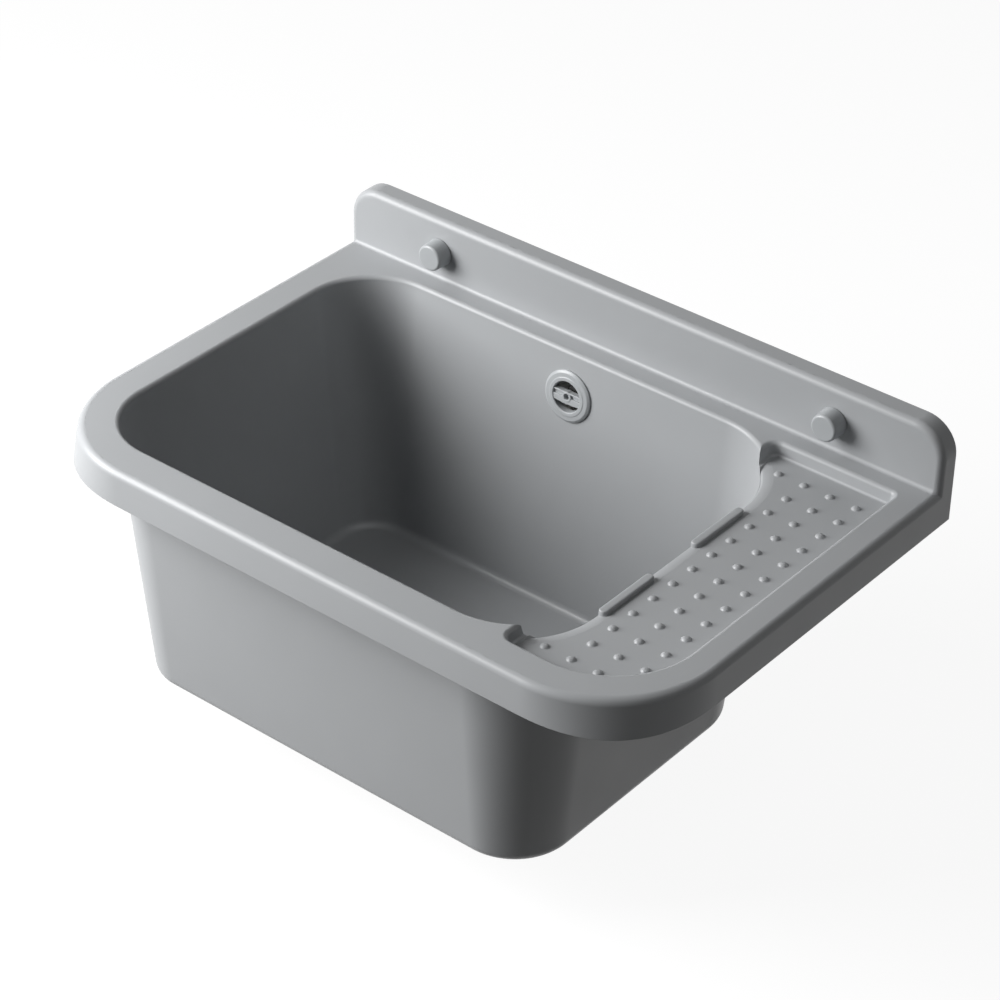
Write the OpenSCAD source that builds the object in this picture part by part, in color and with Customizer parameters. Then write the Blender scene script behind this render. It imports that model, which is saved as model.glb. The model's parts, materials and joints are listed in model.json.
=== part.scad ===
// Wall hung utility basin with a drain board, built as separate parts on one frame.
// Frame: origin on the wall plane, midway between the two fixing holes.
// X runs to the right, Y runs into the wall, Z runs up. Lengths are in millimetres.
// The bowl, the rim and the splash back are swept from wall profiles,
// so the draft, the corner radii and the rounded edges come from the values below.

/* [View] */
// Which part to draw

/* [Overall] */
// Width of the basin over its two side faces
basin_w = 600; // [500:5:700]
// Depth of the basin from the wall to the front of the rim
basin_d = 405; // [350:5:480]
// Height of the skirt below the top of the rim
skirt_h = 32.5; // [25:0.5:45]
// Plan radius of the two front corners of the rim
rim_corner_r = 100; // [60:5:120]
// Radius of the outer edge round the top of the rim
rim_edge_r = 6; // [4:0.5:8]
// Wall thickness of the moulding
wall_t = 3.5; // [2.5:0.5:5]

/* [Splash back] */
// Height of the splash back above the rim
splash_h = 55.5; // [40:0.5:80]
// Thickness of the splash back from the wall to its front face
splash_t = 19; // [15:0.5:25]
// Radius of the two top corners of the splash back
splash_corner_r = 28; // [15:1:35]
// Thickness of the ribs inside the hollow splash back
rib_t = 3; // [2:0.5:4]
// Distance between the ribs inside the hollow splash back
rib_pitch = 100; // [90:5:105]

/* [Bowl] */
// Width of the left part of the rim beside the bowl
rim_left_w = 30; // [20:1:45]
// Width of the front part of the rim
rim_front_w = 32; // [25:1:50]
// Distance from the wall to the back edge of the bowl opening
bowl_back_y = 36; // [32:0.5:45]
// Distance from the bowl opening to the right end of the drain board
board_land_w = 89; // [80:1:110]
// Depth of the bowl from the top of the rim to its outer bottom
bowl_h = 246; // [180:1:300]
// Slope of the bowl walls, sideways distance over depth
bowl_draft = 0.09; // [0.03:0.01:0.15]
// Plan radius of the two left corners of the bowl opening
bowl_left_r = 64; // [55:1:90]
// Plan radius of the two right corners of the bowl opening
bowl_right_r = 82; // [60:1:95]
// Radius of the rounded edge of the bowl opening
bowl_edge_r = 4; // [2:0.5:6]
// Fillet radius between the floor and the walls inside the bowl
bowl_fillet_r = 10; // [6:1:16]
// Thickness of the bowl floor
floor_t = 4; // [3:0.5:6]

/* [Drain board] */
// Depth of the drain board below the top of the rim
board_depth = 12; // [8:0.5:16]
// How far the drain board reaches to the left over the bowl opening
board_overlap = 33; // [25:1:45]
// Width of the rim to the right of the drain board
board_right_w = 23; // [15:1:35]
// Width of the rim in front of the drain board
board_front_w = 28; // [20:1:40]
// Distance from the wall to the back edge of the drain board
board_back_y = 34; // [30:0.5:40]
// Plan radius of the front right corner of the drain board
board_corner_r = 77; // [60:1:90]
// Plan radius of the two left corners of the drain board
board_left_r = 12; // [8:1:16]
// Plan radius of the back right corner of the drain board
board_back_r = 9; // [7:1:16]
// Sideways slope of the walls round the drain board over their height
board_slope = 0.12; // [0.06:0.02:0.4]
// Radius of the edge where the drain board runs into the bowl
board_lip_r = 3; // [1:0.5:4]
// Width of the strip along the bowl where the drain board slopes down
board_lip_w = 9; // [5:0.5:12]
// Angle of that strip, in degrees
board_lip_a = 10; // [4:1:16]
// Radius of the edge round the top of the drain board
board_edge_r = 2.5; // [1:0.5:4]
// Fillet radius round the floor of the drain board
board_fillet_r = 2.5; // [1:0.5:4]
// Diameter of a drain board nub
nub_d = 7.5; // [5:0.5:10]
// Height of a drain board nub
nub_h = 2.3; // [1.5:0.1:4]
// Distance between two nubs
nub_pitch = 24.2; // [22:0.1:26]
// Distance from the right end of the drain board to the last column of nubs
nub_margin = 24.5; // [16:0.5:28]
// Number of nubs in a full column
nub_rows = 13; // [7:2:15]
// Width of the two raised ribs beside the bowl
kerb_w = 7; // [6:0.5:10]
// Length of each raised rib
kerb_l = 58; // [40:1:70]
// Height of the raised ribs above the drain board
kerb_h = 5; // [4:0.5:8]
// Radius of the top edges of the raised ribs
kerb_edge_r = 2.5; // [1:0.5:2.5]
// Distance between the middles of the two raised ribs
kerb_pitch = 113; // [90:1:130]
// Distance from the bowl wall to the side of the raised ribs
kerb_setback = 0.5; // [0.3:0.1:6]
// How far the pair of ribs sits in front of the middle of the drain board
kerb_shift = 2; // [0:0.5:6]

/* [Wall fixing] */
// Distance from each side face of the basin to its wall screw
screw_inset = 100; // [80:5:120]
// Height of the wall screws above the top of the rim
screw_rise = 25.5; // [22:0.5:30]
// Thread diameter of the wall screws
screw_d = 8; // [6:1:10]
// Diameter of the plain neck of the wall screws
screw_neck_d = 7; // [5:0.5:9]
// Width of the screw heads across their flats
head_af = 13; // [10:1:15]
// Height of the screw heads
head_h = 5.5; // [4:0.5:7]
// Outer radius of the screw bosses inside the splash back
boss_r = 9; // [7:0.5:12]
// Length of the wall screw behind the wall plane
screw_reach = 32; // [20:1:60]
// Outer diameter of the screw caps
cap_d = 25; // [22:0.5:30]
// Length of the screw caps in front of the splash back
cap_l = 15; // [12:0.5:20]
// Wall thickness of the screw caps
cap_t = 2; // [1.5:0.5:2.5]
// Radius of the rounded front edge of the screw caps
cap_edge_r = 2; // [1:0.5:3]
// Thickness of the washer under the screw head
washer_t = 3.5; // [2.5:0.5:5]

/* [Overflow] */
// Depth of the overflow below the top of the rim
overflow_drop = 40; // [35:1:60]
// Outer diameter of the overflow rosette
rosette_d = 46.5; // [40:0.5:52]
// Diameter of the opening in the rosette
rosette_hole_d = 27.5; // [22:0.5:30]
// Thickness of the rosette flange
rosette_t = 3.5; // [2.5:0.5:5]
// Width of the bar across the rosette
bar_w = 8.5; // [6:0.5:10]
// Thickness of the bar from front to back
bar_t = 6; // [5:0.5:8]
// Thickness of the bar under the screw head
bar_seat = 2; // [1.5:0.5:3]
// Diameter of the screw recess in the middle of the bar
bar_hole_d = 6.4; // [5:0.2:7]
// Wall thickness of the neck of the rosette
rosette_neck_t = 3; // [2:0.5:4]
// Thread diameter of the overflow screw
small_screw_d = 4; // [3:0.5:5]
// Height of the head of the overflow screw
small_head_h = 3; // [2:0.5:4]
// Outer diameter of the brass insert behind the overflow
small_nut_d = 8; // [6:0.5:9]
// Length of that insert
small_nut_h = 6; // [4:0.5:8]
// Depth of the elbow behind its flange
cup_depth = 17; // [14:0.5:19]
// Outer radius of the elbow
cup_r = 19; // [17.5:0.5:21]
// Wall thickness of the elbow
cup_t = 2.5; // [2:0.5:3]
// Radius of the post that holds the insert
post_r = 6; // [5:0.5:8]
// Outer radius of the hose spigots
spigot_r = 10; // [8:0.5:11]
// Bore radius of the hose spigots
spigot_bore_r = 8; // [6:0.5:8.5]
// Length of the hose spigots
spigot_l = 32; // [25:1:40]
// Outer radius of the barb at the end of a spigot
barb_r = 11; // [10:0.5:12.5]
// Length of that barb
barb_l = 3; // [2:0.5:5]

/* [Waste] */
// Diameter of the strainer flange
strainer_d = 70; // [65:1:80]
// Diameter of the waste hole in the bowl floor
waste_hole_d = 46; // [44:1:50]
// Thread diameter of the waste tail
tail_d = 47.8; // [40:0.1:50]
// Length of the threaded waste tail
tail_l = 20; // [15:1:30]
// Thickness of the strainer flange
waste_flange_t = 2.5; // [2:0.5:4]
// Height of the bevelled edge of the strainer flange
strainer_edge_h = 1; // [0.5:0.5:1.5]
// Radius of a hole in the strainer
strainer_hole_r = 3.2; // [2:0.1:4]
// Radius of the circle of the strainer holes
strainer_ring_r = 14; // [12:0.5:15]
// Radius of the inner circle of the strainer holes
strainer_inner_ring_r = 9.3; // [8:0.1:10]
// Number of holes on the outer circle
strainer_holes = 8; // [6:1:10]
// Outer radius of the strainer neck
neck_r = 20; // [18:0.5:21]
// Wall thickness of the strainer neck
neck_t = 1.8; // [1.2:0.1:2.5]
// Length of the strainer neck
neck_l = 12; // [8:1:14]
// Outer radius of the waste body
body_r = 26; // [25:0.5:30]
// Radius of the flange of the waste body
body_flange_r = 34; // [30:0.5:40]
// Thickness of that flange
body_flange_t = 4; // [3:0.5:6]
// Length of the waste body above its tail
body_l = 34; // [30:1:45]
// Bore radius of the waste body
body_bore_r = 19.5; // [16:0.5:20]
// Thread diameter of the waste screw
waste_screw_d = 6; // [5:0.5:8]
// Head diameter of the waste screw
waste_head_d = 12; // [10:0.5:14]
// Height of that head
waste_head_h = 3; // [2:0.5:4]
// Radius of the post inside the waste body
waste_post_r = 8; // [7:0.5:10]
// Depth of the top of that post below the bowl floor
waste_post_top = 19; // [18:0.5:22]
// Outer diameter of the brass insert in the post
waste_nut_d = 10; // [8:0.5:12]
// Length of that insert
waste_nut_h = 8; // [6:0.5:10]
// Thickness of the arms that carry the post
waste_arm_t = 3; // [2:0.5:5]
// Height of those arms
waste_arm_h = 8; // [5:0.5:10]

/* [Fits] */
// Gap between parts that move or slide past each other
fit_gap = 0.3; // [0.2:0.05:0.5]
// Gap round a screw in the hole that it passes through
hole_gap = 0.5; // [0.3:0.05:0.8]
// Gap round an insert, and between a screw and its insert
insert_gap = 0.1; // [0.05:0.05:0.2]
// Thickness of the soft seals
seal_t = 3; // [2:0.5:4]
// Thickness of the seal under the strainer
flange_seal_t = 1.5; // [1:0.5:2.5]
// How far a seal stays back from the edge of its flange
seal_setback = 1; // [0.5:0.5:3]

/* [Hidden] */
half_w = basin_w / 2;
over = rim_edge_r / 6;
rim_z = -screw_rise;
skirt_z = rim_z - skirt_h;
splash_z = rim_z + splash_h;
arc_steps = 5;
inner_arc_steps = 6;

// Bowl opening in plan, at the top of the rim.
bowl_x0 = rim_left_w - half_w;
bowl_x1 = half_w - board_right_w - board_land_w;
bowl_y0 = rim_front_w - basin_d;
bowl_y1 = -bowl_back_y;
bowl_x = (bowl_x0 + bowl_x1) / 2;
bowl_y = (bowl_y0 + bowl_y1) / 2;
bowl_radii = [bowl_right_r, bowl_left_r, bowl_left_r, bowl_right_r];
bowl_reach = 0.73 * max(bowl_right_r, bowl_left_r);
draft_a = atan(bowl_draft);
draft_k = sqrt(1 + bowl_draft * bowl_draft);
bottom_z = rim_z - bowl_h;
floor_z = bottom_z + floor_t;
bowl_outer_fillet_r = bowl_fillet_r - floor_t;

// Drain board in plan, at the top of the rim.
board_z = rim_z - board_depth;
board_x0 = bowl_x1 - board_overlap;
board_x1 = half_w - board_right_w;
board_y0 = board_front_w - basin_d;
board_y1 = -board_back_y;
board_y = (board_y0 + board_y1) / 2;
board_radii = [board_back_r, board_left_r, board_left_r, board_corner_r];
board_reach = 0.4 * board_corner_r;
board_wall_x = bowl_x1 - inner_inset(board_depth);
kerb_corner_r = 0.43 * kerb_w;
kerb_reach = (kerb_corner_r + kerb_edge_r) / 2;
slope_a = atan(board_slope);
slope_k = sqrt(1 + board_slope * board_slope);

// Rim and splash back: the outline runs past the wall plane and is cut there.
rim_radii = [rim_corner_r, rim_corner_r, rim_corner_r, rim_corner_r];
rim_reach = 0.4 * rim_corner_r;
splash_radii = [splash_corner_r, splash_corner_r, splash_corner_r, splash_corner_r];

// Overflow: its axis stands square on the sloped back wall of the bowl.
overflow_y = bowl_y1 - inner_inset(overflow_drop);
overflow_z = rim_z - overflow_drop;
rosette_hole_r = rosette_hole_d / 2;
rosette_neck_r = rosette_hole_r + rosette_neck_t;
overflow_hole_r = rosette_neck_r + fit_gap;
overflow_flange_r = rosette_d / 2;
spigot_drop = cup_r + spigot_l;
small_screw_r = small_screw_d / 2;
small_nut_r = small_nut_d / 2;
small_screw_tip = small_screw_r;

// Waste: heights count from the inner floor of the bowl.
waste_hole_r = waste_hole_d / 2;
strainer_r = strainer_d / 2;
tail_r = tail_d / 2;
waste_screw_r = waste_screw_d / 2;
waste_head_r = waste_head_d / 2;
waste_nut_r = waste_nut_d / 2;
waste_screw_tip = waste_screw_r / 2;
slot_w = waste_screw_r / 2;

// Wall fixing.
screw_x = half_w - screw_inset;
screw_r = screw_d / 2;
washer_r = cap_d / 2 - cap_t - fit_gap;

function arc(cx, cz, r, a0, a1, n) = [
    for (i = [0 : n])
        [cx + r * cos(a0 + (a1 - a0) * i / n), cz + r * sin(a0 + (a1 - a0) * i / n)]
];

// Distance of the inner bowl wall from the edge of the opening, at a depth below the rim.
function inner_inset(depth) = bowl_edge_r * draft_k + bowl_draft * (depth - bowl_edge_r);

// The same for the wall round the drain board.
function board_inset(depth) = board_edge_r * slope_k + board_slope * (depth - board_edge_r);

// Profiles are lists of [distance inward from the outline, height], from the top down.
cavity_profile = concat(
    [[0, rim_z + over]],
    arc(0, rim_z - bowl_edge_r, bowl_edge_r, 90, draft_a, arc_steps),
    arc(
        inner_inset(bowl_h - floor_t - bowl_fillet_r) + bowl_fillet_r * draft_k,
        floor_z + bowl_fillet_r, bowl_fillet_r, 180 + draft_a, 270, inner_arc_steps
    )
);

bowl_profile = concat(
    [[inner_inset(wall_t) - wall_t * draft_k, rim_z - wall_t / 2]],
    arc(
        inner_inset(bowl_h - bowl_outer_fillet_r) - wall_t * draft_k + bowl_outer_fillet_r * draft_k,
        bottom_z + bowl_outer_fillet_r, bowl_outer_fillet_r, 180 + draft_a, 270, arc_steps
    )
);

rim_profile = concat(
    arc(rim_edge_r, rim_z - rim_edge_r, rim_edge_r, 90, 180, arc_steps),
    [[0, skirt_z]]
);

rim_hollow_profile = concat(
    arc(rim_edge_r, rim_z - rim_edge_r, rim_edge_r - wall_t, 90, 180, arc_steps),
    [[wall_t, skirt_z - over]]
);

splash_profile = concat(
    arc(rim_edge_r, splash_t - rim_edge_r, rim_edge_r, 90, 180, arc_steps),
    [[0, 0]]
);

splash_hollow_profile = concat(
    arc(rim_edge_r, splash_t - rim_edge_r, rim_edge_r - wall_t, 90, 180, arc_steps),
    [[wall_t, -over]]
);

board_profile = concat(
    [[0, rim_z + over]],
    arc(0, rim_z - board_edge_r, board_edge_r, 90, slope_a, arc_steps),
    arc(
        board_inset(board_depth - board_fillet_r) + board_fillet_r * slope_k, board_z + board_fillet_r,
        board_fillet_r, 180 + slope_a, 270, arc_steps
    )
);

kerb_radii = [kerb_corner_r, kerb_corner_r, kerb_corner_r, kerb_corner_r];
kerb_profile = concat(
    arc(kerb_edge_r, board_z + kerb_h - kerb_edge_r, kerb_edge_r, 90, 180, arc_steps),
    [[0, board_z - 0.85 * wall_t]]
);

board_shell_profile = [[-wall_t, rim_z - wall_t / 2], [0, board_z - wall_t]];

// The cutter that lets the drain board slope down and round over into the bowl.
lip_slope = tan(board_lip_a);
lip_fall = (board_lip_w - board_lip_r + board_lip_r * sin(board_lip_a)) * lip_slope;
lip_z = board_z - lip_fall - board_lip_r * cos(board_lip_a);
lip_start = -board_lip_w - over / 10 / lip_slope;
lip_profile = concat(
    [[lip_start, board_z + over], [lip_start, board_z + over / 10]],
    arc(-board_lip_r, lip_z, board_lip_r, 90 - board_lip_a, draft_a, arc_steps),
    [[board_lip_r, lip_z]]
);

// A filled body with a rounded plan outline and the same edge profile all the way round.
// The radii run right back, left back, left front, right front.
module tub(x0, x1, y0, y1, radii, reach, profile) {
    function filled(r) = concat(
        [[0, profile[0][1]]],
        [for (p = profile) [r - p[0], p[1]]],
        [[0, profile[len(profile) - 1][1]]]
    );
    centres = [
        [x1 - radii[0], y1 - radii[0]],
        [x0 + radii[1], y1 - radii[1]],
        [x0 + radii[2], y0 + radii[2]],
        [x1 - radii[3], y0 + radii[3]],
    ];
    middles = [
        [x1, (centres[0][1] + centres[3][1]) / 2],
        [(centres[0][0] + centres[1][0]) / 2, y1],
        [x0, (centres[1][1] + centres[2][1]) / 2],
        [(centres[2][0] + centres[3][0]) / 2, y0],
    ];
    lengths = [
        centres[0][1] - centres[3][1],
        centres[0][0] - centres[1][0],
        centres[1][1] - centres[2][1],
        centres[3][0] - centres[2][0],
    ];
    z0 = profile[len(profile) - 1][1];
    for (i = [0 : 3]) {
        translate([centres[i][0], centres[i][1], 0])
            rotate([0, 0, 90 * i])
                rotate_extrude(angle = 90)
                    polygon(filled(radii[i]));
        translate([middles[i][0], middles[i][1], 0])
            rotate([0, 0, 90 * i])
                translate([-reach, 0, 0])
                    rotate([90, 0, 0])
                        linear_extrude(lengths[i], center = true)
                            polygon(filled(reach));
    }
    translate([x0 + reach, y0 + reach, z0])
        cube([x1 - x0 - 2 * reach, y1 - y0 - 2 * reach, profile[0][1] - z0]);
}

module tube(h, r_out, r_in) {
    difference() {
        cylinder(h = h, r = r_out);
        translate([0, 0, -over])
            cylinder(h = h + 2 * over, r = r_in);
    }
}

// Turns a body built on Z so that its Z axis points out of the wall, towards the front.
module on_wall() {
    rotate([90, 0, 0])
        children();
}

module at_overflow() {
    translate([bowl_x, overflow_y, overflow_z])
        rotate([90 - draft_a, 0, 0])
            children();
}

module at_waste() {
    translate([bowl_x, bowl_y, floor_z])
        children();
}

module at_screws() {
    for (side = [-1, 1])
        translate([side * screw_x, 0, 0])
            children();
}

// The rim with its skirt, and the splash back, before they are hollowed.
module rim_block() {
    intersection() {
        tub(-half_w, half_w, -basin_d, basin_d, rim_radii, rim_reach, rim_profile);
        translate([-half_w, -basin_d, skirt_z])
            cube([basin_w, basin_d, skirt_h]);
    }
}

module splash_block() {
    intersection() {
        on_wall()
            tub(-half_w, half_w, skirt_z - basin_d, splash_z, splash_radii, splash_corner_r, splash_profile);
        translate([-half_w, -splash_t, rim_z - rim_edge_r])
            cube([basin_w, splash_t, splash_h + rim_edge_r]);
    }
}

module rim_hollow() {
    intersection() {
        tub(-half_w, half_w, -basin_d, basin_d, rim_radii, rim_reach, rim_hollow_profile);
        translate([-half_w, -basin_d, skirt_z - over])
            cube([basin_w, basin_d + over, skirt_h + over]);
    }
}

module splash_hollow() {
    intersection() {
        on_wall()
            tub(-half_w, half_w, skirt_z - basin_d, splash_z, splash_radii, splash_corner_r, splash_hollow_profile);
        translate([-half_w, -splash_t, rim_z])
            cube([basin_w, splash_t + over, splash_z - rim_z]);
    }
}

module splash_ribs() {
    rib_count = floor((screw_x - boss_r - rib_t) / rib_pitch);
    positions = concat(
        [for (i = [-rib_count : rib_count]) i * rib_pitch],
        [-screw_x - screw_inset / 2, screw_x + screw_inset / 2]
    );
    root = 0.75 * wall_t;
    for (x = positions)
        translate([x - rib_t / 2, -splash_t + root, rim_z - wall_t / 2])
            cube([rib_t, splash_t - root, splash_h - root + wall_t / 2]);
    at_screws()
        on_wall()
            cylinder(h = splash_t - wall_t / 2, r = boss_r);
}

module drain_board_shell() {
    tub(board_x0 - wall_t, board_x1, board_y0, board_y1, board_radii, board_reach, board_shell_profile);
}

module drain_board_cut() {
    inset = board_inset(board_depth) + board_fillet_r + over / 2;
    tub(board_x0, board_x1, board_y0, board_y1, board_radii, board_reach, board_profile);
    intersection() {
        tub(
            bowl_x0 + inner_inset(board_depth), board_wall_x,
            bowl_y0 + inner_inset(board_depth), bowl_y1 - inner_inset(board_depth),
            bowl_radii, bowl_reach, lip_profile
        );
        translate([board_x0 + inset, board_y0 + inset, board_z - 2 * board_lip_r])
            cube([board_x1 - board_x0 - 2 * inset, board_y1 - board_y0 - 2 * inset, board_depth]);
    }
}

// A nub is a low cap cut from a sphere, on a short foot inside the floor.
module nub() {
    cap_r = (nub_d * nub_d / 4 + nub_h * nub_h) / (2 * nub_h);
    intersection() {
        translate([0, 0, nub_h - cap_r])
            sphere(r = cap_r);
        translate([0, 0, -wall_t / 4])
            cylinder(h = nub_h + wall_t / 2, d = nub_d);
    }
}

// Three columns, of which the one at the right lacks its front nub beside the round corner,
// and one nub more at each end of the bowl edge.
module nubs() {
    last_row = (nub_rows - 1) / 2;
    for (column = [0 : 2])
        for (row = [-last_row : last_row])
            if (column > 0 || row > -last_row)
                nub_at(column, row);
    for (side = [-1, 1])
        nub_at(3, side * last_row);
}

module nub_at(column, row) {
    translate([board_x1 - nub_margin - column * nub_pitch, board_y + row * nub_pitch, board_z])
        nub();
}

// The two raised ribs have round ends, and feet that stand in the sloping strip.
module kerbs() {
    x0 = board_wall_x + kerb_setback;
    for (side = [-1, 1]) {
        y = board_y - kerb_shift + side * kerb_pitch / 2;
        tub(x0, x0 + kerb_w, y - kerb_l / 2, y + kerb_l / 2, kerb_radii, kerb_reach, kerb_profile);
    }
}

module basin() {
    color("#9fa1a3") {
        difference() {
            union() {
                difference() {
                    union() {
                        rim_block();
                        splash_block();
                    }
                    rim_hollow();
                    splash_hollow();
                }
                splash_ribs();
                drain_board_shell();
                tub(bowl_x0, bowl_x1, bowl_y0, bowl_y1, bowl_radii, bowl_reach, bowl_profile);
            }
            tub(bowl_x0, bowl_x1, bowl_y0, bowl_y1, bowl_radii, bowl_reach, cavity_profile);
            drain_board_cut();
            at_screws()
                on_wall()
                    translate([0, 0, -over])
                        cylinder(h = splash_t + 2 * over, r = screw_r + hole_gap);
            at_overflow()
                translate([0, 0, -3 * wall_t])
                    cylinder(h = 4 * wall_t, r = overflow_hole_r);
            at_waste()
                translate([0, 0, -2 * floor_t])
                    cylinder(h = 3 * floor_t, r = waste_hole_r);
        }
        nubs();
        kerbs();
    }
}

module overflow_rosette() {
    color("#a6a8aa")
        at_overflow() {
            difference() {
                union() {
                    cylinder(h = rosette_t / 2, r = rosette_d / 2);
                    translate([0, 0, rosette_t / 2])
                        cylinder(h = rosette_t / 2, r1 = rosette_d / 2, r2 = rosette_neck_r);
                    translate([0, 0, -wall_t])
                        cylinder(h = wall_t, r = rosette_neck_r);
                }
                translate([0, 0, -wall_t - over])
                    cylinder(h = wall_t + rosette_t + 2 * over, r = rosette_hole_r);
            }
            difference() {
                union() {
                    translate([-rosette_hole_r - rosette_neck_t / 2, -bar_w / 2, rosette_t - bar_t])
                        cube([rosette_hole_d + rosette_neck_t, bar_w, bar_t]);
                    translate([0, 0, rosette_t - bar_t])
                        cylinder(h = bar_t + rosette_neck_t / 3, d = bar_w + rosette_neck_t / 2);
                }
                translate([0, 0, rosette_t - bar_t - over])
                    cylinder(h = bar_t + 3 * over, r = small_screw_r + hole_gap);
                translate([0, 0, rosette_t - bar_t + bar_seat])
                    cylinder(h = bar_t + over, d = bar_hole_d);
            }
        }
}

module overflow_screw() {
    head_r = (bar_hole_d - fit_gap) / 2;
    tip_z = -wall_t - seal_t - small_nut_h - small_screw_tip;
    color("#b9bcc0")
        at_overflow() {
            translate([0, 0, rosette_t - bar_t + bar_seat])
                slotted_head(head_r, small_head_h, head_r / 3);
            translate([0, 0, tip_z])
                cylinder(h = rosette_t - bar_t + bar_seat - tip_z, r = small_screw_r);
        }
}

module slotted_head(r, h, slot) {
    difference() {
        cylinder(h = h, r = r);
        translate([-2 * r, -slot / 2, h * 0.6])
            cube([4 * r, slot, h]);
    }
}

module overflow_nut() {
    color("#c9a95a")
        at_overflow()
            translate([0, 0, -wall_t - seal_t - small_nut_h])
                tube(small_nut_h, small_nut_r, small_screw_r + insert_gap);
}

module overflow_seal() {
    color("#262626")
        at_overflow()
            translate([0, 0, -wall_t - seal_t])
                tube(seal_t, overflow_flange_r - seal_setback, overflow_hole_r);
}

// A hose spigot with a barb near its end, built on Z from the axis of the piece that carries it.
module spigot(l) {
    cylinder(h = l, r = spigot_r);
    translate([0, 0, l - 2 * barb_l])
        cylinder(h = barb_l, r1 = barb_r, r2 = spigot_r);
}

module overflow_elbow() {
    spigot_z = -cup_depth / 2 - cup_t;
    color("#d9dadb")
        at_overflow()
            translate([0, 0, -wall_t - seal_t]) {
                difference() {
                    union() {
                        translate([0, 0, -cup_t])
                            cylinder(h = cup_t, r = overflow_flange_r);
                        translate([0, 0, -cup_depth - cup_t])
                            cylinder(h = cup_depth + cup_t, r = cup_r);
                        translate([0, 0, spigot_z])
                            rotate([90, 0, 0])
                                spigot(spigot_drop);
                    }
                    translate([0, 0, -cup_depth])
                        cylinder(h = cup_depth + over, r = cup_r - cup_t);
                    translate([0, 0, spigot_z])
                        rotate([90, 0, 0])
                            cylinder(h = spigot_drop + over, r = spigot_bore_r);
                }
                difference() {
                    translate([0, 0, -cup_depth - cup_t / 2])
                        cylinder(h = cup_depth + cup_t / 2, r = post_r);
                    translate([0, 0, -small_nut_h])
                        cylinder(h = small_nut_h + over, r = small_nut_r + insert_gap);
                    translate([0, 0, -small_nut_h - 2 * small_screw_tip])
                        cylinder(h = small_nut_h, r = small_screw_r + insert_gap);
                }
            }
}

module waste_strainer() {
    dish_t = waste_flange_t - strainer_edge_h - neck_t / 3;
    color("#c4c7ca")
        at_waste()
            translate([0, 0, flange_seal_t]) {
                difference() {
                    union() {
                        cylinder(h = waste_flange_t - strainer_edge_h, r = strainer_r);
                        translate([0, 0, waste_flange_t - strainer_edge_h])
                            cylinder(h = strainer_edge_h, r1 = strainer_r, r2 = strainer_r - 3 * strainer_edge_h);
                    }
                    translate([0, 0, dish_t])
                        cylinder(h = waste_flange_t, r1 = neck_r, r2 = neck_r + neck_t);
                    for (i = [0 : strainer_holes - 1])
                        rotate([0, 0, i * 360 / strainer_holes])
                            translate([strainer_ring_r, 0, -over])
                                cylinder(h = 2 * waste_flange_t, r = strainer_hole_r);
                    for (i = [0 : strainer_holes - 1])
                        rotate([0, 0, (i + 0.5) * 360 / strainer_holes])
                            translate([strainer_inner_ring_r, 0, -over])
                                cylinder(h = 2 * waste_flange_t, r = strainer_hole_r / 2);
                    translate([0, 0, -over])
                        cylinder(h = 2 * waste_flange_t, r = waste_screw_r + hole_gap);
                }
                translate([0, 0, -neck_l])
                    tube(neck_l + dish_t / 2, neck_r, neck_r - neck_t);
            }
}

module waste_screw() {
    seat_z = flange_seal_t + waste_flange_t - strainer_edge_h - neck_t / 3;
    tip_z = -waste_post_top - waste_nut_h - waste_screw_tip;
    color("#b9bcc0")
        at_waste() {
            translate([0, 0, seat_z])
                slotted_head(waste_head_r, waste_head_h, slot_w);
            translate([0, 0, tip_z])
                cylinder(h = seat_z - tip_z, r = waste_screw_r);
        }
}

module waste_nut() {
    color("#c9a95a")
        at_waste()
            translate([0, 0, -waste_post_top - waste_nut_h])
                tube(waste_nut_h, waste_nut_r, waste_screw_r + insert_gap);
}

module waste_flange_seal() {
    color("#262626")
        at_waste()
            tube(flange_seal_t, strainer_r - seal_setback, waste_hole_r);
}

module waste_body_seal() {
    color("#262626")
        at_waste()
            translate([0, 0, -floor_t - seal_t])
                tube(seal_t, body_flange_r - seal_setback, waste_hole_r);
}

module waste_body() {
    top_z = -floor_t - seal_t;
    spigot_z = top_z - body_l / 2;
    post_z = -waste_post_top - waste_nut_h - waste_arm_t;
    color("#e4e5e6")
        at_waste() {
            difference() {
                union() {
                    translate([0, 0, top_z - body_flange_t])
                        cylinder(h = body_flange_t, r = body_flange_r);
                    translate([0, 0, top_z - body_l])
                        cylinder(h = body_l, r = body_r);
                    translate([0, 0, top_z - body_l - tail_l])
                        cylinder(h = tail_l + over, r = tail_r);
                    translate([0, 0, spigot_z])
                        rotate([-90, 0, 0])
                            spigot(body_r + spigot_l);
                }
                translate([0, 0, top_z - body_l - tail_l - over])
                    cylinder(h = body_l + tail_l + 2 * over, r = body_bore_r);
                translate([0, 0, flange_seal_t - neck_l - body_flange_t])
                    cylinder(h = neck_l + body_flange_t, r = neck_r + fit_gap);
                translate([0, 0, spigot_z])
                    rotate([-90, 0, 0])
                        cylinder(h = body_r + spigot_l + over, r = spigot_bore_r);
            }
            translate([0, 0, post_z])
                difference() {
                    union() {
                        cylinder(h = waste_nut_h + waste_arm_t, r = waste_post_r);
                        for (a = [45, 135])
                            rotate([0, 0, a])
                                translate([-(body_bore_r + body_r) / 2, -waste_arm_t / 2, 0])
                                    cube([body_bore_r + body_r, waste_arm_t, waste_arm_h]);
                    }
                    translate([0, 0, waste_arm_t])
                        cylinder(h = waste_nut_h + over, r = waste_nut_r + insert_gap);
                    translate([0, 0, -over])
                        cylinder(h = waste_nut_h, r = waste_screw_r + insert_gap);
                }
        }
}

// A hexagon built from three crossed blocks.
module hex_block(across, h) {
    intersection_for(i = [0 : 2])
        rotate([0, 0, 60 * i])
            translate([-across, -across / 2, 0])
                cube([2 * across, across, h]);
}

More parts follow.
